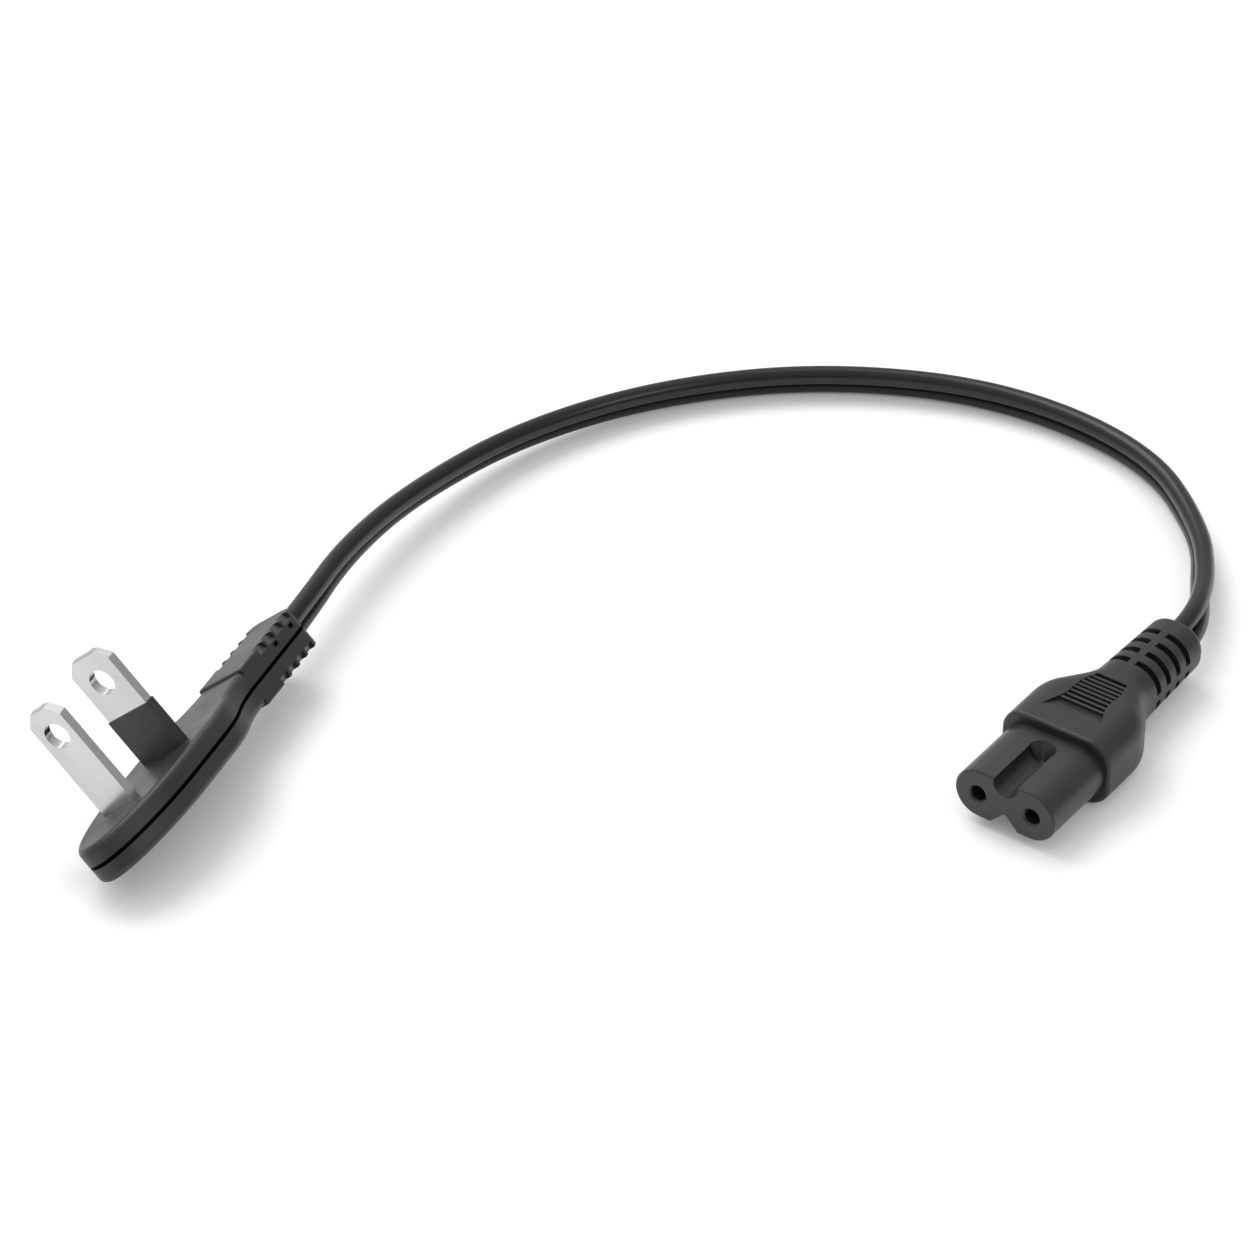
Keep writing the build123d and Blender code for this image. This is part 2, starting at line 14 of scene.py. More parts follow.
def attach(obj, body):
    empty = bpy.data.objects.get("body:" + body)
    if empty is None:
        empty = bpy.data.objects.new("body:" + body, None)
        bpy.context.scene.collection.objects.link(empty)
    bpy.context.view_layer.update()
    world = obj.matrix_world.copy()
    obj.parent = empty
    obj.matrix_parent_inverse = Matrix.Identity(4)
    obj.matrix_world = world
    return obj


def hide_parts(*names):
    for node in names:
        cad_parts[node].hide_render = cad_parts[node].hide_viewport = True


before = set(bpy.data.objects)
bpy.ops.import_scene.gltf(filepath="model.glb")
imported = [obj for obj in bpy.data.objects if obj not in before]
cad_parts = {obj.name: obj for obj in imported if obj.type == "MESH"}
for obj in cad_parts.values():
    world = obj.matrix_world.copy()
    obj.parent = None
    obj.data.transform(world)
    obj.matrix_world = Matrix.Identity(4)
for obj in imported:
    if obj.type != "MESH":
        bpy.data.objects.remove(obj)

log = logging.getLogger("power_cord")

Point = Tuple[float, float, float]
Colour = Tuple[float, float, float]
Pair = Tuple[float, float]

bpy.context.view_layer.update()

# Where the ends lie, in metres and degrees, and the plug's section in millimetres
PLUG_SPOT: Pair = (-0.06576, -0.01027)
PLUG_HEADING = 66.8
PLUG_LEAN = 48.3
PLUG_WIDTH = 15.4
PLUG_THICKNESS = 5.8
PLUG_EDGE_RADIUS = 1.0
CONNECTOR_SPOT: Point = (0.0505, -0.01164, 0.0053)
CONNECTOR_HEADING = 54.0

# Colour of settled dust
DUST: Colour = (0.30, 0.29, 0.27)


class Slot(Enum):
    """Name of a material slot in the record; no piece of this scene is given it."""

    FLEX = "flex"


class Space(Enum):
    """Which coordinates a finish's pattern follows."""

    OBJECT = "Object"
    UV = "UV"


def deselect_all() -> None:
    """Leave no object selected, so that an operator acts only on what is meant."""
    bpy.ops.object.select_all(action="DESELECT")


def make_active(piece: bpy.types.Object) -> None:
    """Select one object alone and make it the active one.

    Args:
        piece: The object that operators act on next.
    """
    deselect_all()
    piece.select_set(True)
    bpy.context.view_layer.objects.active = piece


@dataclass(frozen=True)
class EndFrame:
    """Where one end of the cord lies, and how it is turned.

    The three axes are those of the solids: x, y and z of the end's own frame,
    as directions on the table.
    """

    origin: Point
    x: Point
    y: Point
    z: Point

    def matrix(self) -> Matrix:
        """Matrix from the end's own frame, in metres, to the table's."""
        turned = Matrix((self.x, self.y, self.z)).transposed().to_4x4()
        return Matrix.Translation(Vector(self.origin)) @ turned

    def point(self, x: float, y: float, z: float) -> Vector:
        """A point given in the end's own frame, in millimetres, on the table.

        Args:
            x: Distance along the end's own x axis.
            y: Distance along its y axis.
            z: Distance along its z axis.

        Returns:
            The point in metres, in the table's frame.
        """
        return self.matrix() @ (Vector((x, y, z)) / 1000)

    def level(self, z: float) -> float:
        """Where a plane across the end's own z axis crosses the pattern's z axis.

        Args:
            z: The plane's place on the end's own z axis, in millimetres.

        Returns:
            The same level in the turned coordinates of the pattern, in metres.
        """
        return Vector(self.origin).dot(Vector(self.z)) + z / 1000

    def pattern_turn(self) -> Tuple[float, float, float]:
        """Rotation that brings the table's axes onto the end's own axes."""
        return tuple(Matrix((self.x, self.y, self.z)).to_euler())


def plug_frame() -> EndFrame:
    """Frame of the plug: x towards the flex, z the way the blades point."""
    heading, lean = math.radians(PLUG_HEADING), math.radians(PLUG_LEAN)
    corner_across = PLUG_WIDTH / 2 - PLUG_EDGE_RADIUS
    corner_behind = PLUG_THICKNESS - PLUG_EDGE_RADIUS
    height = corner_across * math.cos(lean) + corner_behind * math.sin(lean) + PLUG_EDGE_RADIUS
    x = Vector((math.cos(heading), math.sin(heading), 0))
    z = Vector((
        -math.sin(heading) * math.cos(lean),
        math.cos(heading) * math.cos(lean),
        math.sin(lean),
    ))
    y = z.cross(x)
    return EndFrame((*PLUG_SPOT, height / 1000), tuple(x), tuple(y), tuple(z))


def connector_frame() -> EndFrame:
    """Frame of the connector: z back towards the flex, y up."""
    heading = math.radians(CONNECTOR_HEADING)
    x = Vector((-math.sin(heading), math.cos(heading), 0))
    z = Vector((math.cos(heading), math.sin(heading), 0))
    return EndFrame(CONNECTOR_SPOT, tuple(x), (0, 0, 1), tuple(z))


# Shader groups: each effect is built once and placed in every finish that uses it


class Effects:
    """Builds the shared effects as node groups, each the first time it is asked for."""

    def __init__(self) -> None:
        """Start with no effect built."""
        self.built: Dict[str, bpy.types.ShaderNodeTree] = {}

    def start(
        self, name: str, inputs: Sequence[Tuple[str, str, object]], outputs: Sequence[Tuple[str, str]]
    ) -> bpy.types.ShaderNodeTree:
        """Make an empty group with its sockets.

        Args:
            name: The group's name.
            inputs: Socket name, socket type and default value of each input.
            outputs: Socket name and socket type of each output.

        Returns:
            The new group, with an input and an output node.
        """
        tree = bpy.data.node_groups.new(name, "ShaderNodeTree")
        for label, kind, value in inputs:
            socket = tree.interface.new_socket(label, in_out="INPUT", socket_type=kind)
            if value is not None:
                socket.default_value = value
        for label, kind in outputs:
            tree.interface.new_socket(label, in_out="OUTPUT", socket_type=kind)
        tree.nodes.new("NodeGroupInput")
        tree.nodes.new("NodeGroupOutput")
        self.built[name] = tree
        return tree

    @staticmethod
    def ends(tree: bpy.types.ShaderNodeTree) -> Tuple[bpy.types.Node, bpy.types.Node]:
        """The input and the output node of a group.

        Args:
            tree: The group.

        Returns:
            Its input node and its output node.
        """
        return tree.nodes["Group Input"], tree.nodes["Group Output"]

    def moulded_skin(self) -> bpy.types.ShaderNodeTree:
        """Skin of a moulding: fine eroded grain, faint flow and slow mottling."""
        if "moulded_skin" in self.built:
            return self.built["moulded_skin"]
        tree = self.start(
            "moulded_skin",
            [
                ("Vector", "NodeSocketVector", None),
                ("Grain Scale", "NodeSocketFloat", 5200.0),
                ("Flow Scale", "NodeSocketFloat", 160.0),
            ],
            [("Height", "NodeSocketFloat"), ("Mottle", "NodeSocketFloat")],
        )
        start, end = self.ends(tree)
        nodes, links = tree.nodes, tree.links
        grain = nodes.new("ShaderNodeTexNoise")
        grain.inputs["Detail"].default_value = 3.0
        grain.inputs["Roughness"].default_value = 0.62
        pits = nodes.new("ShaderNodeTexVoronoi")
        pits.feature = "SMOOTH_F1"
        pits.inputs["Smoothness"].default_value = 0.6
        flow = nodes.new("ShaderNodeTexNoise")
        flow.inputs["Detail"].default_value = 4.0
        flow.inputs["Distortion"].default_value = 0.6
        blend = nodes.new("ShaderNodeMix")
        blend.inputs["Factor"].default_value = 0.45
        spread = nodes.new("ShaderNodeMapRange")
        spread.inputs["From Min"].default_value = 0.3
        spread.inputs["From Max"].default_value = 0.7
        for node in (grain, pits, flow):
            links.new(start.outputs["Vector"], node.inputs["Vector"])
        links.new(start.outputs["Grain Scale"], grain.inputs["Scale"])
        links.new(start.outputs["Grain Scale"], pits.inputs["Scale"])
        links.new(start.outputs["Flow Scale"], flow.inputs["Scale"])
        links.new(grain.outputs["Fac"], blend.inputs["A"])
        links.new(pits.outputs["Distance"], blend.inputs["B"])
        links.new(flow.outputs["Fac"], spread.inputs["Value"])
        links.new(blend.outputs["Result"], end.inputs["Height"])
        links.new(spread.outputs["Result"], end.inputs["Mottle"])
        return tree

    def handling(self) -> bpy.types.ShaderNodeTree:
        """Traces of handling: thin scuffs and settled dust, as one mask each."""
        if "handling" in self.built:
            return self.built["handling"]
        tree = self.start(
            "handling",
            [
                ("Vector", "NodeSocketVector", None),
                ("Scuff Scale", "NodeSocketFloat", 420.0),
                ("Dust Scale", "NodeSocketFloat", 900.0),
            ],
            [("Scuffs", "NodeSocketFloat"), ("Dust", "NodeSocketFloat")],
        )
        start, end = self.ends(tree)
        nodes, links = tree.nodes, tree.links
        stretch = nodes.new("ShaderNodeMapping")
        stretch.inputs["Rotation"].default_value = (0.5, 0.3, 0.9)
        stretch.inputs["Scale"].default_value = (1.0, 0.12, 0.7)
        scratch = nodes.new("ShaderNodeTexNoise")
        scratch.inputs["Detail"].default_value = 5.0
        scratch.inputs["Roughness"].default_value = 0.7
        thin = nodes.new("ShaderNodeMapRange")
        thin.inputs["From Min"].default_value = 0.62
        thin.inputs["From Max"].default_value = 0.72
        dust = nodes.new("ShaderNodeTexNoise")
        dust.inputs["Detail"].default_value = 6.0
        dust.inputs["Roughness"].default_value = 0.75
        patch = nodes.new("ShaderNodeMapRange")
        patch.inputs["From Min"].default_value = 0.55
        patch.inputs["From Max"].default_value = 0.8
        facing = nodes.new("ShaderNodeNewGeometry")
        upward = nodes.new("ShaderNodeSeparateXYZ")
        lying = nodes.new("ShaderNodeMath")
        lying.operation = "MULTIPLY"
        lying.use_clamp = True
        links.new(start.outputs["Vector"], stretch.inputs["Vector"])
        links.new(stretch.outputs["Vector"], scratch.inputs["Vector"])
        links.new(start.outputs["Scuff Scale"], scratch.inputs["Scale"])
        links.new(scratch.outputs["Fac"], thin.inputs["Value"])
        links.new(start.outputs["Vector"], dust.inputs["Vector"])
        links.new(start.outputs["Dust Scale"], dust.inputs["Scale"])
        links.new(dust.outputs["Fac"], patch.inputs["Value"])
        links.new(facing.outputs["Normal"], upward.inputs["Vector"])
        links.new(upward.outputs["Z"], lying.inputs[0])
        links.new(patch.outputs["Result"], lying.inputs[1])
        links.new(thin.outputs["Result"], end.inputs["Scuffs"])
        links.new(lying.outputs["Value"], end.inputs["Dust"])
        return tree

    def drawn_lines(self) -> bpy.types.ShaderNodeTree:
        """Fine lines left by rolling, drawing or extruding, along one axis."""
        if "drawn_lines" in self.built:
            return self.built["drawn_lines"]
        tree = self.start(
            "drawn_lines",
            [
                ("Vector", "NodeSocketVector", None),
                ("Stretch", "NodeSocketVector", (4000.0, 4000.0, 90.0)),
            ],
            [("Lines", "NodeSocketFloat")],
        )
        start, end = self.ends(tree)
        nodes, links = tree.nodes, tree.links
        scale = nodes.new("ShaderNodeVectorMath")
        scale.operation = "MULTIPLY"
        lines = nodes.new("ShaderNodeTexNoise")
        lines.inputs["Scale"].default_value = 1.0
        lines.inputs["Detail"].default_value = 4.0
        lines.inputs["Roughness"].default_value = 0.6
        links.new(start.outputs["Vector"], scale.inputs[0])
        links.new(start.outputs["Stretch"], scale.inputs[1])
        links.new(scale.outputs["Vector"], lines.inputs["Vector"])
        links.new(lines.outputs["Fac"], end.inputs["Lines"])
        return tree


    def painted_recess_shade(self) -> bpy.types.ShaderNodeTree:
        """Mask of painted shade in a recess: 1 at a level of one coordinate, fading out over a reach.
        """
        if "painted_recess_shade" in self.built:
            return self.built["painted_recess_shade"]
        tree = self.start(
            "painted_recess_shade",
            [
                ("Vector", "NodeSocketVector", None),
                ("Axis", "NodeSocketVector", (0.0, 0.0, 1.0)),
                ("Level", "NodeSocketFloat", 0.0),
                ("Repeat", "NodeSocketFloat", 1.0),
                ("Inner", "NodeSocketFloat", 0.0),
                ("Outer", "NodeSocketFloat", 0.001),
            ],
            [("Shade", "NodeSocketFloat")],
        )
        start, end = self.ends(tree)
        nodes, links = tree.nodes, tree.links
        along = nodes.new("ShaderNodeVectorMath")
        along.operation = "DOT_PRODUCT"
        offset = nodes.new("ShaderNodeMath")
        offset.operation = "SUBTRACT"
        fold = nodes.new("ShaderNodeMath")
        fold.operation = "PINGPONG"
        fade = nodes.new("ShaderNodeMapRange")
        fade.interpolation_type = "SMOOTHSTEP"
        fade.inputs["To Min"].default_value = 1.0
        fade.inputs["To Max"].default_value = 0.0
        links.new(start.outputs["Vector"], along.inputs[0])
        links.new(start.outputs["Axis"], along.inputs[1])
        links.new(along.outputs["Value"], offset.inputs[0])
        links.new(start.outputs["Level"], offset.inputs[1])
        links.new(offset.outputs["Value"], fold.inputs[0])
        links.new(start.outputs["Repeat"], fold.inputs[1])
        links.new(fold.outputs["Value"], fade.inputs["Value"])
        links.new(start.outputs["Inner"], fade.inputs["From Min"])
        links.new(start.outputs["Outer"], fade.inputs["From Max"])
        links.new(fade.outputs["Result"], end.inputs["Shade"])
        return tree


EFFECTS = Effects()


@dataclass
class Sheet:
    """One material's node sheet, with short calls for its parts."""

    name: str
    material: bpy.types.Material = field(init=False)
    shader: bpy.types.Node = field(init=False)

    def __post_init__(self) -> None:
        """Start the material with its shader and output."""
        self.material = bpy.data.materials.new(self.name)
        self.material.use_nodes = True
        self.tree.nodes.clear()
        self.shader = self.add("ShaderNodeBsdfPrincipled")
        output = self.add("ShaderNodeOutputMaterial")
        self.link(self.shader.outputs["BSDF"], output.inputs["Surface"])

    @property
    def tree(self) -> bpy.types.ShaderNodeTree:
        """The material's node tree."""
        return self.material.node_tree

    def add(self, kind: str) -> bpy.types.Node:
        """Add one node of a kind.

        Args:
            kind: The node's type name.

        Returns:
            The new node.
        """
        return self.tree.nodes.new(kind)

    def link(self, source: bpy.types.NodeSocket, target: bpy.types.NodeSocket) -> None:
        """Link an output to an input.

        Args:
            source: The output socket.
            target: The input socket.
        """
        self.tree.links.new(source, target)

    def effect(
        self, tree: bpy.types.ShaderNodeTree, vector: bpy.types.NodeSocket, **values: object
    ) -> bpy.types.Node:
        """Place a shared effect.

        Args:
            tree: The effect's group.
            vector: The coordinates that it follows.
            **values: Input values by socket name, with spaces written as underscores.

        Returns:
            The placed group node.
        """
        node = self.add("ShaderNodeGroup")
        node.node_tree = tree
        self.link(vector, node.inputs["Vector"])
        for label, value in values.items():
            node.inputs[label.replace("_", " ")].default_value = value
        return node

    def coordinates(self, space: Space, turn: Tuple[float, float, float]) -> bpy.types.NodeSocket:
        """Coordinates of the piece, turned onto its own axes.

        Args:
            space: Object or UV coordinates.
            turn: Rotation in radians about x, y and z.

        Returns:
            The vector socket to build patterns on.
        """
        source = self.add("ShaderNodeTexCoord")
        mapping = self.add("ShaderNodeMapping")
        mapping.inputs["Rotation"].default_value = turn
        self.link(source.outputs[space.value], mapping.inputs["Vector"])
        return mapping.outputs["Vector"]

    def between(self, mask: bpy.types.NodeSocket, low: float, high: float) -> bpy.types.NodeSocket:
        """A value that runs from low to high as a mask runs from 0 to 1.

        Args:
            mask: The socket that gives the mask.
            low: The value where the mask is 0.
            high: The value where the mask is 1.

        Returns:
            The value's socket.
        """
        node = self.add("ShaderNodeMapRange")
        node.inputs["To Min"].default_value = low
        node.inputs["To Max"].default_value = high
        self.link(mask, node.inputs["Value"])
        return node.outputs["Result"]

    def tint(self, mask: bpy.types.NodeSocket, first: object, second: object) -> bpy.types.NodeSocket:
        """A colour mixed by a mask.

        Args:
            mask: The socket that gives 0 for the first colour and 1 for the second.
            first: A colour, or the socket of one.
            second: The other colour, or its socket.

        Returns:
            The mixed colour's socket.
        """
        node = self.add("ShaderNodeMix")
        node.data_type = "RGBA"
        colours = [s for s in node.inputs if s.type == "RGBA"]
        result = [s for s in node.outputs if s.type == "RGBA"][0]
        for socket, colour in zip(colours, (first, second)):
            if isinstance(colour, bpy.types.NodeSocket):
                self.link(colour, socket)
            else:
                socket.default_value = (*colour, 1.0)
        self.link(mask, node.inputs[0])
        return result

    def bump(self, height: bpy.types.NodeSocket, distance: float, strength: float) -> None:
        """Raise the surface by a height, as a bump into the shader's normal.

        Args:
            height: The socket that gives the height.
            distance: The height in metres that a value of 1 stands for.
            strength: How much of the bump shows.
        """
        node = self.add("ShaderNodeBump")
        node.inputs["Distance"].default_value = distance
        node.inputs["Strength"].default_value = strength
        self.link(height, node.inputs["Height"])
        self.link(node.outputs["Normal"], self.shader.inputs["Normal"])


def lighter(colour: Colour, factor: float) -> Colour:
    """A colour times a factor, kept below 1.

    Args:
        colour: The colour to start from.
        factor: How many times as bright the new one is; below 1, it is darker.

    Returns:
        The new colour.
    """
    return tuple(min(1.0, channel * factor) for channel in colour)


@dataclass(frozen=True)
class MouldedFinish:
    """Moulded plastic or rubber, with grain, mottling, scuffs, a little dust and, where a reach is
    given, painted shade along the parting groove.
    """

    name: str
    colour: Colour
    roughness: Pair
    grain_scale: float = 5200.0
    grain_depth: float = 0.000012
    grain_strength: float = 0.35
    mottle: Pair = (0.86, 1.16)
    scuff: float = 0.16
    scuff_lift: float = 2.1
    dust: float = 0.05
    specular: float = 0.5
    turn: Tuple[float, float, float] = (0.0, 0.0, 0.0)
    seam_level: float = 0.0
    seam_painted_shade_reach: Pair = (0.0, 0.0)
    seam_painted_shade: float = 0.06
    seam_painted_shade_specular: float = 0.04

    def build(self) -> bpy.types.Material:
        """Make the material."""
        sheet = Sheet(self.name)
        vector = sheet.coordinates(Space.OBJECT, self.turn)
        skin = sheet.effect(EFFECTS.moulded_skin(), vector, Grain_Scale=self.grain_scale)
        worn = sheet.effect(EFFECTS.handling(), vector)
        low, high = self.mottle
        mottled = sheet.tint(
            skin.outputs["Mottle"], lighter(self.colour, low), lighter(self.colour, high)
        )
        scuffed = sheet.tint(
            sheet.between(worn.outputs["Scuffs"], 0.0, self.scuff),
            mottled, lighter(self.colour, self.scuff_lift),
        )
        dusted = sheet.tint(sheet.between(worn.outputs["Dust"], 0.0, self.dust), scuffed, DUST)
        finished = dusted
        # Painted shade: near the parting plane the colour darkens and the specular drops, standing in
        # for the shade inside the parting groove.
        if self.seam_painted_shade_reach[1] > 0:
            seam = sheet.effect(
                EFFECTS.painted_recess_shade(), vector, Level=self.seam_level,
                Inner=self.seam_painted_shade_reach[0], Outer=self.seam_painted_shade_reach[1],
            )
            finished = sheet.tint(seam.outputs["Shade"], dusted, lighter(self.colour, self.seam_painted_shade))
            specular = sheet.between(seam.outputs["Shade"], self.specular, self.seam_painted_shade_specular)
            sheet.link(specular, sheet.shader.inputs["Specular IOR Level"])
        sheet.link(finished, sheet.shader.inputs["Base Color"])
        rough = sheet.between(skin.outputs["Mottle"], *self.roughness)
        sheet.link(rough, sheet.shader.inputs["Roughness"])
        sheet.bump(skin.outputs["Height"], self.grain_depth, self.grain_strength)
        sheet.shader.inputs["Specular IOR Level"].default_value = self.specular
        return sheet.material


@dataclass(frozen=True)
class MetalFinish:
    """Plated or bare sheet metal with drawn lines, slow clouds and faint tarnish."""

    name: str
    colour: Colour
    tarnish: Colour
    roughness: Pair
    stretch: Point = (4200.0, 4200.0, 110.0)
    line_strength: float = 0.4
    line_share: float = 0.30
    line_shade: float = 0.80
    sweep: Point = (170.0, 170.0, 60.0)
    sweep_shades: Pair = (0.80, 1.16)
    tarnish_share: float = 0.5
    tarnish_scale: float = 260.0
    line_depth: float = 0.000006
    turn: Tuple[float, float, float] = (0.0, 0.0, 0.0)

    def build(self) -> bpy.types.Material:
        """Make the material."""
        sheet = Sheet(self.name)
        vector = sheet.coordinates(Space.OBJECT, self.turn)
        drawn = sheet.effect(EFFECTS.drawn_lines(), vector, Stretch=self.stretch)
        worn = sheet.effect(EFFECTS.handling(), vector, Dust_Scale=self.tarnish_scale)
        swept = sheet.effect(EFFECTS.drawn_lines(), vector, Stretch=self.sweep)
        low, high = self.sweep_shades
        clouded = sheet.tint(
            swept.outputs["Lines"], lighter(self.colour, low), lighter(self.colour, high)
        )
        plated = sheet.tint(
            sheet.between(drawn.outputs["Lines"], 0.0, self.line_share),
            clouded, lighter(self.colour, self.line_shade),
        )
        aged = sheet.tint(
            sheet.between(worn.outputs["Dust"], 0.0, self.tarnish_share), plated, self.tarnish
        )
        sheet.link(aged, sheet.shader.inputs["Base Color"])
        sheet.link(
            sheet.between(drawn.outputs["Lines"], *self.roughness), sheet.shader.inputs["Roughness"]
        )
        sheet.shader.inputs["Metallic"].default_value = 1.0
        sheet.bump(drawn.outputs["Lines"], self.line_depth, self.line_strength)
        return sheet.material


@dataclass(frozen=True)
class FlexFinish:
    """Extruded vinyl of the flex: lengthwise draw lines, painted shade in the grooves and a little
    dust.
    """

    name: str
    colour: Colour
    roughness: Pair
    specular: float = 0.42
    stretch: Point = (90.0, 14.0, 1.0)
    line_depth: float = 0.00003
    line_strength: float = 0.25
    flow_scale: float = 240.0
    mottle: Pair = (0.88, 1.14)
    dust: float = 0.04
    dust_scale: float = 1300.0
    dust_colour: Colour = (0.3, 0.29, 0.28)
    groove_turn: float = 0.4853
    groove_fold: float = 0.25
    groove_painted_shade_reach: Pair = (0.008, 0.085)
    groove_painted_shade: float = 0.1

    def build(self) -> bpy.types.Material:
        """Make the material.

        The section's outline runs from 0 to 1 round the flex, so its two grooves lie
        half a turn apart, and a fold at a quarter turn paints shade into them both.
        """
        sheet = Sheet(self.name)
        along = sheet.coordinates(Space.UV, (0.0, 0.0, 0.0))
        around = sheet.coordinates(Space.OBJECT, (0.0, 0.0, 0.0))
        drawn = sheet.effect(EFFECTS.drawn_lines(), along, Stretch=self.stretch)
        skin = sheet.effect(EFFECTS.moulded_skin(), around, Flow_Scale=self.flow_scale)
        worn = sheet.effect(EFFECTS.handling(), around, Dust_Scale=self.dust_scale)
        low, high = self.mottle
        mottled = sheet.tint(
            skin.outputs["Mottle"], lighter(self.colour, low), lighter(self.colour, high)
        )
        dusted = sheet.tint(
            sheet.between(worn.outputs["Dust"], 0.0, self.dust), mottled, self.dust_colour
        )
        # Painted shade: the grooves between the lobes get a darker colour and no specular, standing in
        # for the shade that falls there.
        groove = sheet.effect(
            EFFECTS.painted_recess_shade(), along, Axis=(1.0, 0.0, 0.0), Level=self.groove_turn,
            Repeat=self.groove_fold, Inner=self.groove_painted_shade_reach[0], Outer=self.groove_painted_shade_reach[1],
        )
        shaded = sheet.tint(groove.outputs["Shade"], dusted, lighter(self.colour, self.groove_painted_shade))
        sheet.link(shaded, sheet.shader.inputs["Base Color"])
        sheet.link(
            sheet.between(drawn.outputs["Lines"], *self.roughness), sheet.shader.inputs["Roughness"]
        )
        sheet.link(
            sheet.between(groove.outputs["Shade"], self.specular, 0.0),
            sheet.shader.inputs["Specular IOR Level"],
        )
        sheet.bump(drawn.outputs["Lines"], self.line_depth, self.line_strength)
        return sheet.material


# The camera, the table and the light


@dataclass
class Viewpoint:
    """The camera at the photograph's place and angle."""

    target: Point = (-0.0005, 0.03556, 0.0)
    elevation: float = 37.015
    distance: float = 0.7205
    focal_pixels: float = 5026.8
    frame_pixels: float = 1254.0
    film: float = 36.0
    clip: Pair = (0.01, 20.0)

    def build(self) -> bpy.types.Object:
        """Place the camera and make it the scene's own."""
        data = bpy.data.cameras.new("viewpoint")
        data.sensor_fit = "HORIZONTAL"
        data.sensor_width = self.film
        data.lens = self.focal_pixels / self.frame_pixels * self.film
        data.clip_start, data.clip_end = self.clip
        camera = bpy.data.objects.new("viewpoint", data)
        bpy.context.scene.collection.objects.link(camera)
        rise = math.radians(self.elevation)
        back = Vector((0.0, -math.cos(rise), math.sin(rise)))
        camera.location = Vector(self.target) + back * self.distance
        camera.rotation_euler = (math.pi / 2 - rise, 0.0, 0.0)
        bpy.context.scene.camera = camera
        return camera


@dataclass
class Studio:
    """White table and soft light."""

    table_half: float = 2.5
    table_colour: Colour = (0.93, 0.93, 0.93)
    table_glow: float = 0.1
    sky_side: Point = (-0.5, 0.32, 0.8)
    sky_range: Pair = (-0.35, 0.9)
    sky_low: float = 0.32
    sky_high: float = 0.95
    key_power: float = 6.5
    key_place: Point = (-0.42, 0.52, 0.95)
    key_size: float = 0.8
    fill_power: float = 1.5
    fill_place: Point = (0.75, -0.45, 0.7)
    fill_size: float = 0.35

    def seen_ray(self, tree: bpy.types.NodeTree) -> bpy.types.NodeSocket:
        """A mask that is 1 for what the camera, a reflection or glass sees.

        Args:
            tree: The sheet that the mask is built on.

        Returns:
            The mask's socket.
        """
        path = tree.nodes.new("ShaderNodeLightPath")
        first = tree.nodes.new("ShaderNodeMath")
        first.operation = "ADD"
        second = tree.nodes.new("ShaderNodeMath")
        second.operation = "ADD"
        second.use_clamp = True
        tree.links.new(path.outputs["Is Camera Ray"], first.inputs[0])
        tree.links.new(path.outputs["Is Glossy Ray"], first.inputs[1])
        tree.links.new(first.outputs[0], second.inputs[0])
        tree.links.new(path.outputs["Is Transmission Ray"], second.inputs[1])
        return second.outputs[0]

    def build_table(self) -> bpy.types.Object:
        """Lay the white table top, which is not part of the cord."""
        deselect_all()
        bpy.ops.mesh.primitive_plane_add(size=2 * self.table_half, location=(0, 0, 0))
        table = bpy.context.active_object
        table.name = "table_top"
        sheet = Sheet("white_table")
        sheet.shader.inputs["Base Color"].default_value = (*self.table_colour, 1.0)
        sheet.shader.inputs["Roughness"].default_value = 0.9
        sheet.shader.inputs["Specular IOR Level"].default_value = 0.1
        sheet.shader.inputs["Emission Color"].default_value = (1.0, 1.0, 1.0, 1.0)
        scale = sheet.add("ShaderNodeMath")
        scale.operation = "MULTIPLY"
        scale.inputs[1].default_value = self.table_glow
        sheet.link(self.seen_ray(sheet.tree), scale.inputs[0])
        sheet.link(scale.outputs[0], sheet.shader.inputs["Emission Strength"])
        table.data.materials.append(sheet.material)
        return table

    def build_sky(self) -> None:
        """Surround the table with white light that falls off to one side."""
        world = bpy.data.worlds.new("studio")
        world.use_nodes = True
        tree = world.node_tree
        background = tree.nodes["Background"]
        background.inputs["Color"].default_value = (1.0, 1.0, 1.0, 1.0)
        direction = tree.nodes.new("ShaderNodeTexCoord")
        toward = tree.nodes.new("ShaderNodeVectorMath")
        toward.operation = "DOT_PRODUCT"
        toward.inputs[1].default_value = self.sky_side
        level = tree.nodes.new("ShaderNodeMapRange")
        level.inputs["From Min"].default_value = self.sky_range[0]
        level.inputs["From Max"].default_value = self.sky_range[1]
        level.inputs["To Min"].default_value = self.sky_low
        level.inputs["To Max"].default_value = self.sky_high
        tree.links.new(direction.outputs["Generated"], toward.inputs[0])
        tree.links.new(toward.outputs["Value"], level.inputs["Value"])
        tree.links.new(level.outputs["Result"], background.inputs["Strength"])
        bpy.context.scene.world = world

    def add_lamp(self, name: str, place: Point, power: float, size: float) -> bpy.types.Object:
        """Hang a soft square lamp that faces the middle of the table.

        Args:
            name: The lamp's name.
            place: Where it hangs, in metres.
            power: Its power in watts.
            size: Its side in metres.

        Returns:
            The lamp.
        """
        data = bpy.data.lights.new(name, "AREA")
        data.energy = power
        data.size = size
        lamp = bpy.data.objects.new(name, data)
        bpy.context.scene.collection.objects.link(lamp)
        lamp.location = place
        lamp.rotation_euler = (-Vector(place)).to_track_quat("-Z", "Y").to_euler()
        return lamp

    def build(self) -> None:
        """Lay the table and light it."""
        self.build_table()
        self.build_sky()
        self.add_lamp("key_lamp", self.key_place, self.key_power, self.key_size)
        self.add_lamp("fill_lamp", self.fill_place, self.fill_power, self.fill_size)


# The flex


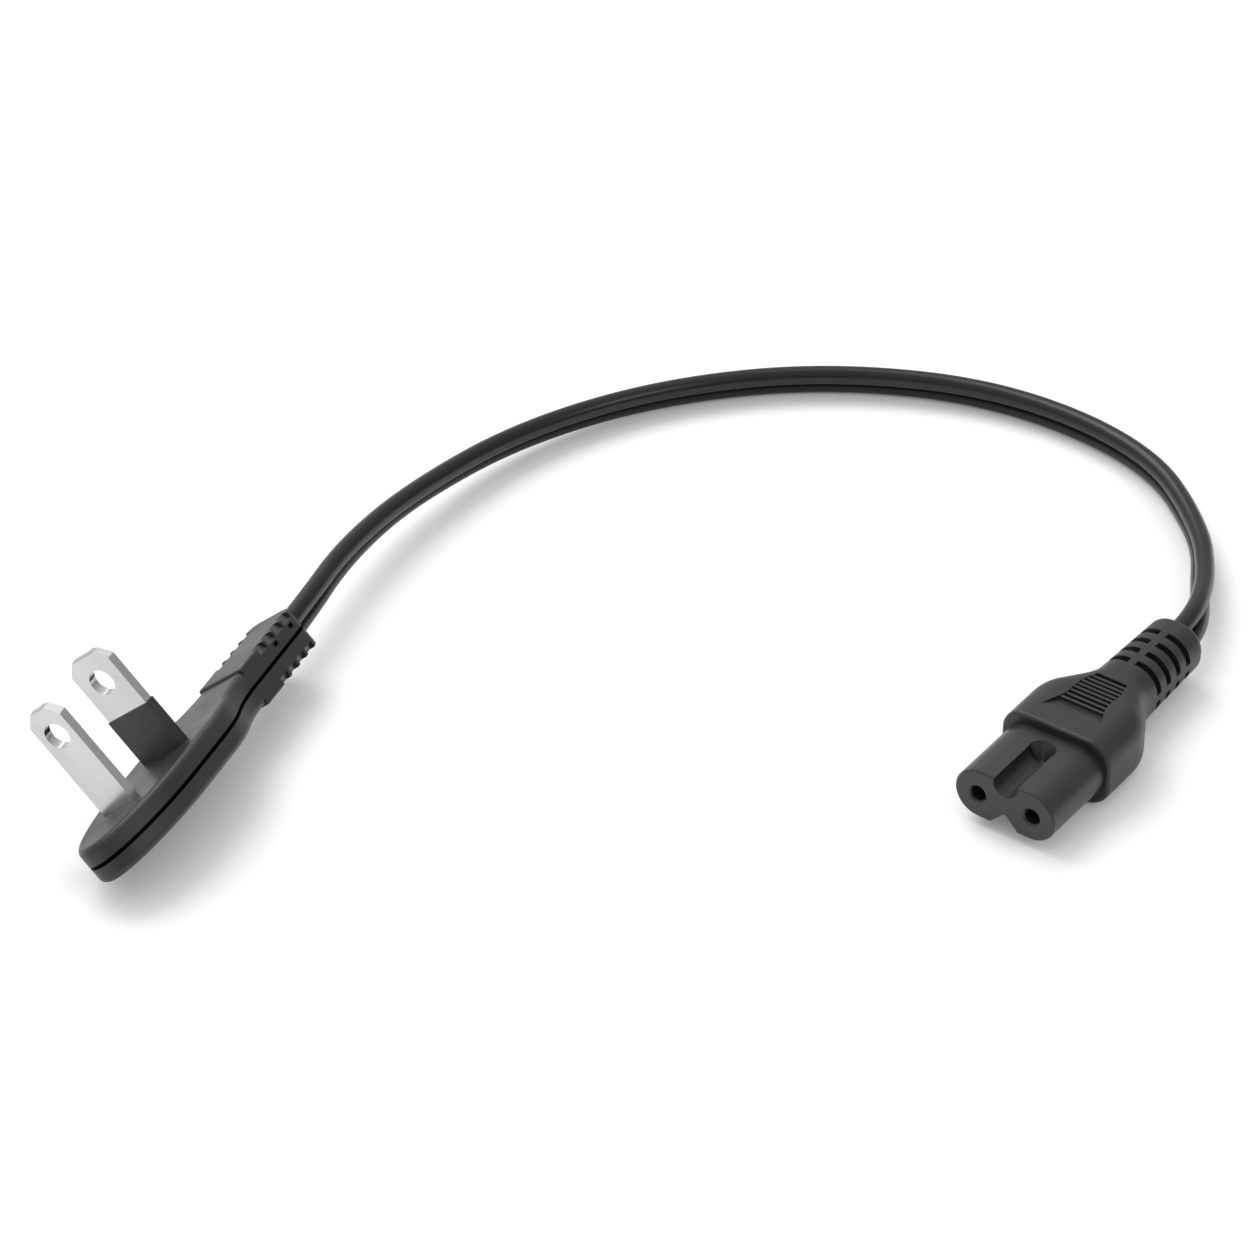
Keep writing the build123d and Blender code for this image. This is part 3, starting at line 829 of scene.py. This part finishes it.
@dataclass
class TwinFlex:
    """Light twin flex, from the plug's boot to the connector's.

    Each entry of leans is a place along the flex, from 0 to 1, and the lean there in
    degrees: 0 stands the two lobes on edge, and more lays the upper one inwards. The
    places in the boots are in millimetres, in the frames of the plug and the connector.
    """

    lobe_radius: float = 0.00142
    lobe_offset: float = 0.00126
    web_angle: float = 55.0
    lobe_points: int = 17
    plug_exit: float = 39.2
    plug_straight: float = 45.0
    plug_middle: float = -2.9
    connector_exit: float = 45.4
    connector_straight: float = 50.6
    spline_steps: int = 26
    smooth_angle: float = 50.0
    uv_scale: float = 100.0
    leans: Sequence[Pair] = (
        (0.0, 0.0), (0.2, 26.0), (0.55, 26.0), (0.74, 16.0), (0.84, 8.0), (0.915, -12.0), (1.0, 28.0),
    )
    width: float = 0.005
    length: float = 0.2165
    tuck: float = 0.0006
    table_gap: float = 0.00003
    finish: FlexFinish = FlexFinish("flex_vinyl", (0.0035, 0.0035, 0.004), (0.26, 0.36))
    corners: Sequence[Point] = (
        (-0.0410, 0.0447, 0.0069),
        (-0.0320, 0.0607, 0.0056),
        (-0.0162, 0.0792, 0.0036),
        (0.0053, 0.0916, 0.0027),
        (0.0303, 0.0959, 0.0027),
        (0.0564, 0.0910, 0.0027),
        (0.0772, 0.0748, 0.0027),
        (0.0833, 0.0552, 0.0027),
        (0.0824, 0.0411, 0.0034),
    )

    def route(self, plug: EndFrame, connector: EndFrame) -> List[Vector]:
        """Control points of the flex's line, boot to boot.

        Args:
            plug: Frame of the plug.
            connector: Frame of the connector.

        Returns:
            The points in metres.
        """
        return [
            plug.point(self.plug_exit, 0.0, self.plug_middle),
            plug.point(self.plug_straight, 0.0, self.plug_middle),
            *[Vector(corner) for corner in self.corners],
            connector.point(0.0, 0.0, self.connector_straight),
            connector.point(0.0, 0.0, self.connector_exit),
        ]

    def centre_line(self, points: Sequence[Vector]) -> List[Vector]:
        """Points read from one smooth spline that has the route as its control points.

        Args:
            points: The route's control points, in metres.

        Returns:
            Close points along the spline.
        """
        data = bpy.data.curves.new("flex_route", "CURVE")
        data.dimensions = "3D"
        data.resolution_u = self.spline_steps
        spline = data.splines.new("NURBS")
        spline.points.add(len(points) - 1)
        for knot, point in zip(spline.points, points):
            knot.co = (*point, 1.0)
        spline.order_u = 3
        spline.use_endpoint_u = True
        holder = bpy.data.objects.new("flex_route", data)
        bpy.context.scene.collection.objects.link(holder)
        bpy.context.view_layer.update()
        mesh = bpy.data.meshes.new_from_object(holder)
        line = [vertex.co.copy() for vertex in mesh.vertices]
        bpy.data.objects.remove(holder)
        bpy.data.curves.remove(data)
        bpy.data.meshes.remove(mesh)
        return line

    def lean_at(self, share: float) -> float:
        """How far the pair of lobes leans to the inner side of the arch.

        Args:
            share: Place along the flex, from 0 at the plug to 1 at the connector.

        Returns:
            The lean in radians.
        """
        for (start, first), (end, second) in zip(self.leans, self.leans[1:]):
            if share <= end:
                part = (share - start) / (end - start)
                return math.radians(first + (second - first) * part * part * (3 - 2 * part))
        return math.radians(self.leans[-1][1])

    def section(self) -> List[Pair]:
        """Outline of the twin section: two lobes joined by a web.

        Returns:
            Points across and along the pair of lobes, in metres.
        """
        outline = []
        for sign in (1, -1):
            first = math.radians(-self.web_angle) if sign > 0 else math.radians(180 - self.web_angle)
            sweep = math.radians(180 + 2 * self.web_angle)
            for step in range(self.lobe_points):
                angle = first + sweep * step / (self.lobe_points - 1)
                outline.append((
                    self.lobe_radius * math.cos(angle),
                    sign * self.lobe_offset + self.lobe_radius * math.sin(angle),
                ))
        return outline

    def build(self, plug: EndFrame, connector: EndFrame, far_pieces: Sequence[str]) -> bpy.types.Object:
        """Args:
            plug: Frame of the plug, where the flex starts.
            connector: Frame of the connector, where it ends.
            far_pieces: Names of the solids on its far end; not used.

        Returns:
            The flex's object.
        """
        line = self.centre_line(self.route(plug, connector))
        outline = self.section()
        mesh = bpy.data.meshes.new("twin_flex")
        work = bmesh.new()
        seam = work.loops.layers.uv.new("along")
        whole = sum((after - before).length for before, after in zip(line, line[1:]))
        rings, stations, travelled = [], [], 0.0
        for index, centre in enumerate(line):
            ahead = line[min(index + 1, len(line) - 1)]
            behind = line[max(index - 1, 0)]
            tangent = (ahead - behind).normalized()
            side = tangent.cross(Vector((0, 0, 1))).normalized()
            up = side.cross(tangent)
            if index:
                travelled += (centre - line[index - 1]).length
            lean = self.lean_at(travelled / whole)
            pair = up * math.cos(lean) + side * math.sin(lean)
            across = pair.cross(tangent)
            place = centre.copy()
            place.z = max(place.z, self.lobe_radius + self.lobe_offset * abs(pair.z) + self.table_gap)
            if index == 0:
                place = centre - tangent * self.tuck
            elif index == len(line) - 1:
                place = centre + tangent * self.tuck
            rings.append([work.verts.new(place + across * u + pair * v) for u, v in outline])
            stations.append(travelled)
        count = len(outline)
        for index in range(len(rings) - 1):
            for spoke in range(count):
                after = (spoke + 1) % count
                face = work.faces.new((
                    rings[index][spoke], rings[index][after],
                    rings[index + 1][after], rings[index + 1][spoke],
                ))
                for loop, (turn, station) in zip(face.loops, (
                    (spoke, index), (spoke + 1, index), (spoke + 1, index + 1), (spoke, index + 1),
                )):
                    loop[seam].uv = (turn / count, stations[station] * self.uv_scale)
        work.faces.new(list(reversed(rings[0])))
        work.faces.new(rings[-1])
        bmesh.ops.recalc_face_normals(work, faces=work.faces)
        work.to_mesh(mesh)
        work.free()
        flex = bpy.data.objects.new("twin_flex", mesh)
        bpy.context.scene.collection.objects.link(flex)
        mesh.materials.append(self.finish.build())
        make_active(flex)
        bpy.ops.object.shade_smooth_by_angle(angle=math.radians(self.smooth_angle))
        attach(flex, "root")
        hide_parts("cord")
        log.info("twin_flex: %d rings, %.1f mm long", len(rings), travelled * 1000)
        return flex


# The plug and the connector


def dress(node: str, material: bpy.types.Material) -> None:
    """Give one solid its finish.

    Args:
        node: The solid's name in the record.
        material: The finish.
    """
    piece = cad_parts[node]
    piece.data.materials.clear()
    piece.data.materials.append(material)
    log.info("%s: %s", node, material.name)


@dataclass
class Plug:
    """The slim plug: two shells, two blades, the sleeve and the inner cores."""

    place: EndFrame = field(default_factory=plug_frame)
    parting: float = -2.9
    # Reach of the painted shade either side of the parting plane, in metres.
    parting_painted_shade_reach: Pair = (0.00026, 0.00031)

    def build(self) -> None:
        """Dress the plug's solids."""
        turn = self.place.pattern_turn()
        shell = MouldedFinish(
            "shell_moulding", (0.017, 0.017, 0.0185), (0.38, 0.50), grain_scale=4600.0, turn=turn,
            seam_level=self.place.level(self.parting), seam_painted_shade_reach=self.parting_painted_shade_reach,
        ).build()
        dress("plug_front_half", shell)
        dress("plug_back_half", shell)
        metal = MetalFinish(
            "blade_plating", (0.58, 0.58, 0.575), (0.44, 0.425, 0.40), (0.13, 0.30), turn=turn
        ).build()
        dress("wide_blade", metal)
        dress("narrow_blade", metal)
        sleeve = MouldedFinish(
            "sleeve_moulding", (0.018, 0.0185, 0.020), (0.34, 0.46), grain_scale=6400.0,
            grain_strength=0.2, turn=turn,
        ).build()
        dress("blade_sleeve", sleeve)
        core = MouldedFinish("core_insulation", (0.06, 0.06, 0.06), (0.35, 0.45), turn=turn).build()
        dress("plug_core_wide", core)
        dress("plug_core_narrow", core)


@dataclass
class Connector:
    """The figure-eight connector: insert, grip, contacts and inner cores."""

    place: EndFrame = field(default_factory=connector_frame)
    nodes: Tuple[str, ...] = (
        "connector_insert", "connector_grip", "contact_left", "contact_right",
        "connector_core_left", "connector_core_right",
    )

    def build(self) -> None:
        """Dress the connector's solids."""
        turn = self.place.pattern_turn()
        insert = MouldedFinish(
            "insert_moulding", (0.018, 0.018, 0.019), (0.30, 0.42), grain_scale=6000.0,
            grain_strength=0.25, turn=turn,
        ).build()
        dress("connector_insert", insert)
        grip = MouldedFinish(
            "grip_moulding", (0.013, 0.013, 0.014), (0.36, 0.50), grain_scale=4200.0,
            grain_strength=0.45, turn=turn,
        ).build()
        dress("connector_grip", grip)
        contact = MetalFinish(
            "contact_metal", (0.34, 0.28, 0.18), (0.16, 0.11, 0.06), (0.30, 0.45), turn=turn
        ).build()
        dress("contact_left", contact)
        dress("contact_right", contact)
        core = MouldedFinish("core_skin", (0.06, 0.06, 0.06), (0.35, 0.45), turn=turn).build()
        dress("connector_core_left", core)
        dress("connector_core_right", core)


def plain_view() -> None:
    """Show colours as they are written."""
    bpy.context.scene.view_settings.view_transform = "Standard"


def main() -> None:
    """Build the view, the flex and both ends."""
    logging.basicConfig(level=logging.INFO, format="%(name)s %(message)s")
    Viewpoint().build()
    plug, connector = Plug(), Connector()
    TwinFlex().build(plug.place, connector.place, connector.nodes)
    plug.build()
    connector.build()
    Studio().build()
    plain_view()


if __name__ == "__main__":
    main()
